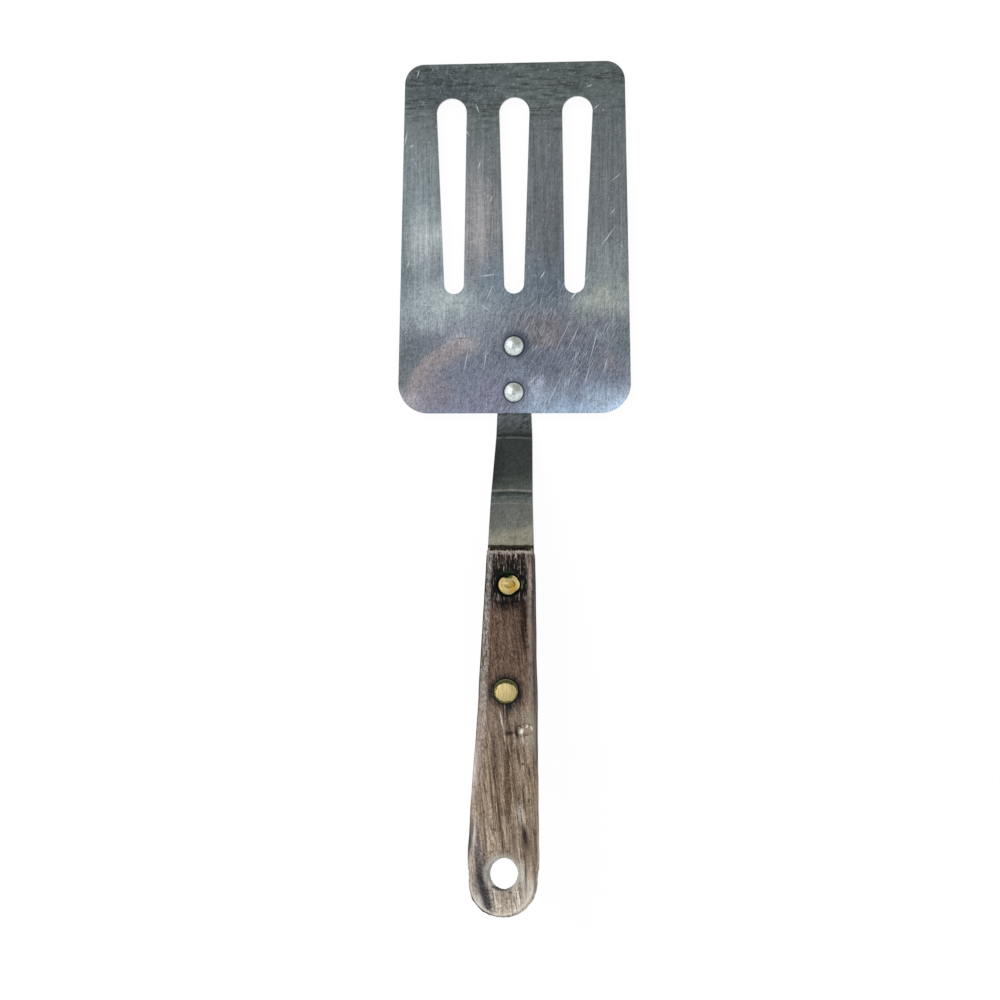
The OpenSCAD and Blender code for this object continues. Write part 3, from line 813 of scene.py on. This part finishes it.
# Cracks, stains and pale chips on the top, as start, end, half width, colour and strength
for start, end, half_width_of_mark, tint, strength in (
    ((0.1, 50.5), (0.8, 58.5), 0.34, paint(34, 30, 30), 1.4),
    ((-0.9, 50.5), (-0.4, 58.0), 0.30, paint(40, 34, 34), 1.2),
    ((-0.4, 50.2), (-0.1, 54.6), 0.12, paint(214, 210, 206), 0.75),
    ((-0.1, 55.0), (0.15, 58.4), 0.12, paint(214, 210, 206), 0.75),
    ((-1.9, 53.0), (-0.3, 60.6), 0.34, paint(214, 204, 190), 1.7),
    ((-0.5, 58.8), (0.6, 67.0), 0.32, paint(202, 190, 168), 1.6),
    ((-7.1, 52.4), (-5.5, 59.0), 0.30, paint(200, 188, 170), 1.0),
    ((-5.6, 58.6), (-4.2, 65.5), 0.30, paint(192, 176, 152), 1.0),
    ((-6.5, 53.4), (-4.6, 62.0), 0.35, paint(70, 54, 44), 1.0),
    ((-0.8, 61.0), (3.6, 60.2), 0.95, paint(50, 38, 34), 1.6),
    ((3.1, 58.2), (4.1, 62.8), 0.75, paint(38, 30, 28), 1.6),
    ((4.6, 61.6), (9.0, 60.6), 0.50, paint(60, 52, 46), 1.1),
    ((5.2, 52.0), (6.4, 58.5), 1.50, paint(168, 158, 146), 0.8),
    ((8.0, 59.8), (9.0, 66.0), 1.20, paint(178, 169, 154), 1.0),
    ((3.0, 58.6), (5.4, 58.0), 0.36, paint(48, 40, 40), 1.5),
    ((5.3, 58.1), (6.9, 57.0), 0.34, paint(52, 44, 42), 1.5),
    ((6.9, 57.1), (8.7, 58.5), 0.30, paint(60, 50, 46), 1.1),
    ((4.0, 60.4), (6.4, 59.5), 1.10, paint(196, 190, 172), 1.3),
    ((5.3, 58.9), (5.4, 61.2), 0.48, paint(242, 238, 228), 1.7),
    ((4.6, 60.7), (5.9, 59.4), 0.40, paint(238, 233, 220), 1.5),
    ((6.6, 59.2), (7.3, 57.7), 0.42, paint(232, 227, 216), 1.6),
    ((8.0, 58.0), (8.9, 59.9), 0.40, paint(226, 219, 204), 1.5),
    ((4.4, 61.9), (6.6, 61.5), 0.34, paint(64, 58, 50), 1.3),
    ((5.4, 60.4), (6.1, 64.8), 0.45, paint(208, 201, 190), 1.3),
    ((2.9, 55.5), (4.4, 64.0), 0.60, paint(46, 39, 37), 1.1),
    ((0.0, 62.0), (2.6, 72.0), 0.45, paint(62, 48, 38), 1.3),
    ((2.3, 70.5), (4.8, 85.0), 0.45, paint(66, 52, 42), 1.0),
    ((3.6, 63.0), (5.4, 73.5), 0.55, paint(52, 44, 40), 1.4),
    ((5.2, 72.0), (7.3, 88.5), 0.55, paint(54, 46, 42), 1.4),
    ((4.3, 66.0), (6.2, 80.0), 0.70, paint(168, 156, 138), 0.6),
    ((5.3, 70.4), (6.3, 70.0), 0.60, paint(40, 32, 28), 1.5),
    ((7.4, 69.4), (8.6, 76.5), 0.50, paint(58, 44, 36), 1.4),
    ((4.8, 81.5), (6.4, 90.5), 1.30, paint(196, 190, 180), 1.2),
    ((6.2, 87.6), (7.9, 98.2), 1.15, paint(46, 36, 36), 1.7),
    ((-4.2, 68.5), (-2.0, 81.0), 0.42, paint(66, 51, 38), 1.6),
    ((-2.3, 79.0), (-0.5, 93.0), 0.48, paint(62, 47, 36), 1.8),
    ((-0.8, 90.0), (0.8, 101.0), 0.45, paint(66, 52, 40), 1.6),
    ((-0.3, 82.0), (1.6, 99.0), 0.50, paint(206, 190, 164), 0.9),
    ((-4.9, 76.0), (-2.8, 85.5), 0.80, paint(78, 66, 56), 0.9),
    ((-5.6, 66.0), (-2.9, 86.0), 0.35, paint(84, 66, 52), 1.0),
    ((-10.4, 88.0), (-11.0, 102.0), 1.20, paint(56, 53, 56), 1.4),
    ((-8.8, 84.0), (-9.3, 101.5), 0.60, paint(216, 211, 208), 1.3),
    ((-9.4, 60.0), (-9.7, 84.0), 1.50, paint(214, 202, 192), 1.2),
    ((-9.9, 96.0), (-9.5, 110.0), 1.60, paint(208, 188, 179), 1.1),
    ((7.0, 96.0), (7.9, 113.0), 0.50, paint(74, 62, 54), 1.2),
    ((8.8, 96.0), (9.3, 111.0), 0.60, paint(196, 176, 154), 0.9),
    ((10.1, 97.0), (10.6, 113.0), 0.45, paint(92, 80, 72), 1.0),
    ((7.0, 2.5), (7.3, 21.0), 0.80, paint(172, 160, 148), 1.3),
    ((-4.6, 47.5), (-4.3, 66.0), 1.50, paint(158, 140, 124), 0.9),
    ((-9.6, 85.5), (-9.8, 94.0), 1.00, paint(112, 102, 94), 1.0),
):
    mark = wood.line(start, end, half_width_of_mark) * wood.rise(0.6 * fibre + 0.4 * grit, 0.36, 0.54)
    colour = wood.mix(strength * mark * top_face, colour, tint)

# Handling has rubbed the rim of the hole grey, and the butt's and the front's edges pale. Painted light
# and shade also lie on the hole's wall, the butt's rim and the front's dark edge.
from_hole = wood.distance((0, hole_along))
rubbed = wood.fall(from_hole, 5.1, 6.6) * (0.4 + 0.6 * worn)
colour = wood.mix(0.7 * rubbed, colour, paint(190, 187, 180))
# The hole's wall is painted near white, painted light where the wall lies in shade
bore_highlight = wood.fall(from_hole, 4.8, 5.1)
colour = wood.mix(bore_highlight, colour, paint(250, 248, 244))
# A dark crescent at the hole's lower left is painted shade on the bore's lower wall
lower_lip_shade = wood.rise(along, hole_along + 2.6, hole_along + 4.4) * wood.rise(across, -4.0, -2.4)
lower_lip_shade = wood.fall(from_hole + 1.6 * (grit - 0.5), 5.0, 5.9) * lower_lip_shade
colour = wood.mix(0.9 * lower_lip_shade * (1 - 0.6 * wood.rise(across, 1, 3.5)), colour, paint(48, 48, 46))
from_butt = wood.distance((0, butt_centre))
at_butt = wood.rise(along, butt_centre - 3, butt_centre + 3)
# A pale line on the butt's rounded rim, worn and a painted highlight
worn_rim_highlight = wood.rise(from_butt, 9.1, 9.7) * wood.fall(from_butt, 9.9, 10.2) * at_butt
colour = wood.mix(0.85 * worn_rim_highlight * (0.4 + 0.6 * worn), colour, paint(228, 221, 212))
# Painted shade on the outer side of the butt's rounding, in patches, strongest at the lower left
butt_rim_shade = wood.rise(from_butt, 10.0, 10.4) * at_butt
rim_patches = wood.rise(wood.noise((3, 3, 3), detail=2, offset=77), 0.36, 0.56)
lower_left = wood.rise(across, -10, -8) * wood.fall(across, -4.5, -2.5)
right_side = wood.rise(across, 1, 5)
butt_rim_shade = butt_rim_shade * (0.2 + 0.45 * rim_patches + 0.6 * lower_left) * (1 - 0.6 * right_side)
colour = wood.mix(butt_rim_shade, colour, paint(44, 42, 42))
frayed = wood.noise((0.7, 0.45, 0.5), 30, detail=3, roughness=0.7, offset=33)
fringe = wood.rise(along + 3.2 * (frayed - 0.5), 1.5, 1.9)
fringe = fringe * wood.fall(along + 4.0 * (frayed - 0.5), 2.2, 3.0)
colour = wood.mix(0.9 * fringe * (0.45 + 0.55 * worn), colour, paint(190, 178, 168))
corner = wood.rise(abs(across - 0.4), 6.5, 7.1)
# The front's rounded edge is black with char and painted shade, apart from its pale corners
char_and_shade = wood.fall(along + 1.6 * (frayed - 0.5), 1.5, 1.9) * (1 - corner)
char_and_shade_colour = wood.mix(wood.rise(frayed, 0.52, 0.66), paint(10, 7, 4), paint(104, 84, 64))
colour = wood.mix(char_and_shade, colour, char_and_shade_colour)
colour = wood.mix(0.75 * corner * wood.fall(along, 0.8, 3.0), colour, paint(176, 156, 142))
wood.set("Base Color", colour)
wood.set("Roughness", 0.8 - 0.25 * streak)
wood.bump(0.6 * streak + 0.4 * fibre - 0.5 * pores, 0.14)
dress(handle, wood, "handle_wood", "handle")

# Brass rivets
# Two cutlery rivets clamp the wood to the tang. Each is a hollow barrel from above and a pin pressed
# into it from below, with a flat round head on both. The front one has been hammered flat and is chipped.
head_radius = 3.85
head_seat = 5.25
head_side_top = 6.55
head_top = 6.9
barrel_radius = 2.4
bore_radius = 1.62
barrel_mouth = -4.85
pin_radius = 1.6
pin_tip = 4.85

crown = head_top - head_side_top
crown_radius = (head_radius ** 2 + crown ** 2) / (2 * crown)
head_profile = [(head_radius, head_seat), (head_radius, head_side_top - 0.12)]
head_profile += [(head_radius - 0.05, head_side_top)]
head_profile += [
    (radius, head_top - crown_radius + sqrt(crown_radius ** 2 - radius ** 2))
    for radius in (3.7, 3.5, 3.3, 3.0, 2.6, 2.1, 1.6, 1.1, 0.6, 0.2)
]
barrel_profile = [(bore_radius, head_seat), (bore_radius, barrel_mouth), (barrel_radius, barrel_mouth)]
barrel_profile += [(barrel_radius, head_seat)] + head_profile
pin_profile = [(pin_radius, -pin_tip), (pin_radius, head_seat)] + head_profile
upside_down = Matrix.Rotation(pi, 4, "Y")

brass = Finish("rivet_brass", wrist, handle_turn, -1)
rub = brass.noise((0.3, 3.5, 0.5), detail=3, roughness=0.6)
cloud = brass.noise((0.9, 0.9, 0.9), detail=3, roughness=0.65)
colour = brass.mix(brass.rise(rub, 0.3, 0.7), paint(160, 144, 98), paint(198, 182, 132))
from_rear = brass.distance((0, brass_places["rear"]))
from_front = brass.distance((0, brass_places["front"]))
colour = brass.mix(0.3 * brass.fall(from_front, 3.8, 4.0), colour, paint(146, 124, 60))
ragged = brass.distance((0.1, brass_places["rear"] + 0.4), (3.6, 2.98))
ragged = ragged + 0.55 * (brass.noise((0.5, 0.5, 0.5), detail=3, roughness=0.6, offset=3) - 0.5)
tarnish = brass.rise(ragged, 0.92, 1.0) * brass.fall(from_rear, 3.9, 4.0)
colour = brass.mix(tarnish, colour, paint(54, 58, 18))
# A painted highlight along the rear head's rim
edge_highlight = brass.rise(from_rear, 3.62, 3.75) * brass.fall(from_rear, 3.9, 4.0)
colour = brass.mix(0.4 * edge_highlight, colour, paint(176, 174, 116))
copper_stain = brass.rise(cloud, 0.5, 0.72) * brass.fall(from_front, 3.8, 4.0)
colour = brass.mix(0.4 * copper_stain, colour, paint(168, 124, 50))
patch = brass.distance((0.2, 12.6), (1.75, 1.15), 12)
groove = brass.rise(patch, 0.8, 1.0) * brass.fall(patch + 1.0 * (cloud - 0.5), 1.1, 1.45)
groove = groove * brass.rise(brass.y + 0.8 * brass.x, 12.0, 13.6)
colour = brass.mix(0.85 * groove, colour, paint(108, 82, 30))
gilt = brass.rise(brass.spot((1.7, 13.8), (2.3, 2.2)), 0.0, 0.7) * brass.rise(cloud, 0.3, 0.6)
colour = brass.mix(0.8 * gilt, colour, paint(168, 134, 40))
lip = brass.rise(from_front, 3.0, 3.4) * brass.fall(from_front, 3.8, 4.0)
colour = brass.mix(0.5 * lip, colour, paint(232, 222, 166))
green = brass.rise(brass.spot((0.0, 10.1), (2.4, 1.3), 8), 0.1, 0.6)
colour = brass.mix(0.9 * green, colour, paint(44, 66, 22))
brass.set("Base Color", colour)
brass.set("Metallic", 1 - 0.6 * tarnish)
brass.set("Roughness", 0.3 + 0.25 * cloud + 0.2 * tarnish)
brass.bump(0.5 * rub + 0.5 * cloud, 0.04)


def hammer(piece, to_head):
    """Chips a brass head's far edge, flattens its side and leaves a raised patch in its middle."""
    piece.data.transform(to_head.inverted())
    for vertex in piece.data.vertices:
        x, y, z = vertex.co / mm
        if z < head_seat - 0.01 or hypot(x, y) < barrel_radius - 0.01 and z < head_side_top:
            continue
        angle = atan2(y, -x)
        inwards = 0.91
        for dent, dent_angle, reach in ((0.26, -1.85, 0.34), (0.09, 0.85, 0.35), (0.04, -0.6, 0.3)):
            inwards -= dent * near(angle, dent_angle, reach)
        x = 0.98 * x * inwards - 0.3
        y = 0.92 * y * inwards - 0.1
        from_middle = hypot((x + 0.2) / 1.5, y + 0.4)
        if z > head_side_top:
            z -= 0.24 * (1 - near(from_middle, 0, 1.0)) + 0.22 * near(from_middle, 1.4, 0.35)
        vertex.co = Vector((x, y, z)) * mm
    piece.data.transform(to_head)


for end, place in brass_places.items():
    seat = handle_frame @ Matrix.Translation((0, place * mm, 0))
    barrel = turned(end + "_brass_barrel", barrel_profile, seat)
    pin = turned(end + "_brass_pin", pin_profile, seat @ upside_down)
    if end == "front":
        hammer(barrel, seat)
    for piece, node in ((barrel, end + "_rivet_barrel"), (pin, end + "_rivet_pin")):
        smooth(piece, 40)
        dress(piece, brass, "rivet_brass", node)

# Table and light
# The spatula was laid on white paper under soft light from all sides, a little stronger from the upper
# left. The paper glows where it is seen, directly or in the steel, so that it is as white as in the photo.
paper_size = 4
paper_level = -0.1 * mm
paper_white = (0.92, 0.92, 0.92)
paper_glow = 0.92
glow_strength = 1.02
lamp_place = (-0.55, 0.45, 0.85)
lamp_size = 0.7
lamp_power = 3
sky_strength = 0.8
bpy.ops.mesh.primitive_plane_add(size=paper_size, location=(0, 0, paper_level))
floor = bpy.context.object
floor.name = "white_paper"
paper = Finish("white_paper", Base_Color=paper_white, Roughness=0.9)
seen = 0
for ray in ("Is Camera Ray", "Is Glossy Ray", "Is Transmission Ray"):
    seen = seen + paper.node("ShaderNodeLightPath", {}, {}, ray)
glow = paper.node("ShaderNodeEmission", {}, {"Color": (1, 1, 1), "Strength": glow_strength})
shader = Wire(paper, paper.shader.outputs[0])
both = paper.node("ShaderNodeMixShader", {}, {0: paper_glow * seen, 1: shader, 2: glow})
paper.join(paper.tree.nodes["Material Output"].inputs["Surface"], both)
floor.data.materials.append(paper.material)

bpy.ops.object.light_add(type="AREA", location=lamp_place)
key = bpy.context.object
key.name = "upper_left_light"
key.data.shape = "DISK"
key.data.size = lamp_size
key.data.energy = lamp_power
key.rotation_euler = (Vector((0, 0, 0)) - key.location).to_track_quat("-Z", "Y").to_euler()

world = bpy.data.worlds.new("studio")
bpy.context.scene.world = world
world.use_nodes = True
sky = world.node_tree
ray = sky.nodes.new("ShaderNodeLightPath")
most = sky.nodes.new("ShaderNodeMath")
most.operation = "MAXIMUM"
sky.links.new(ray.outputs["Is Camera Ray"], most.inputs[0])
sky.links.new(ray.outputs["Is Glossy Ray"], most.inputs[1])
strength = sky.nodes.new("ShaderNodeMapRange")
strength.inputs["To Min"].default_value = sky_strength
sky.links.new(most.outputs[0], strength.inputs["Value"])
sky.nodes["Background"].inputs["Color"].default_value = (1, 1, 1, 1)
sky.links.new(strength.outputs[0], sky.nodes["Background"].inputs["Strength"])
bpy.context.scene.view_settings.view_transform = "Standard"
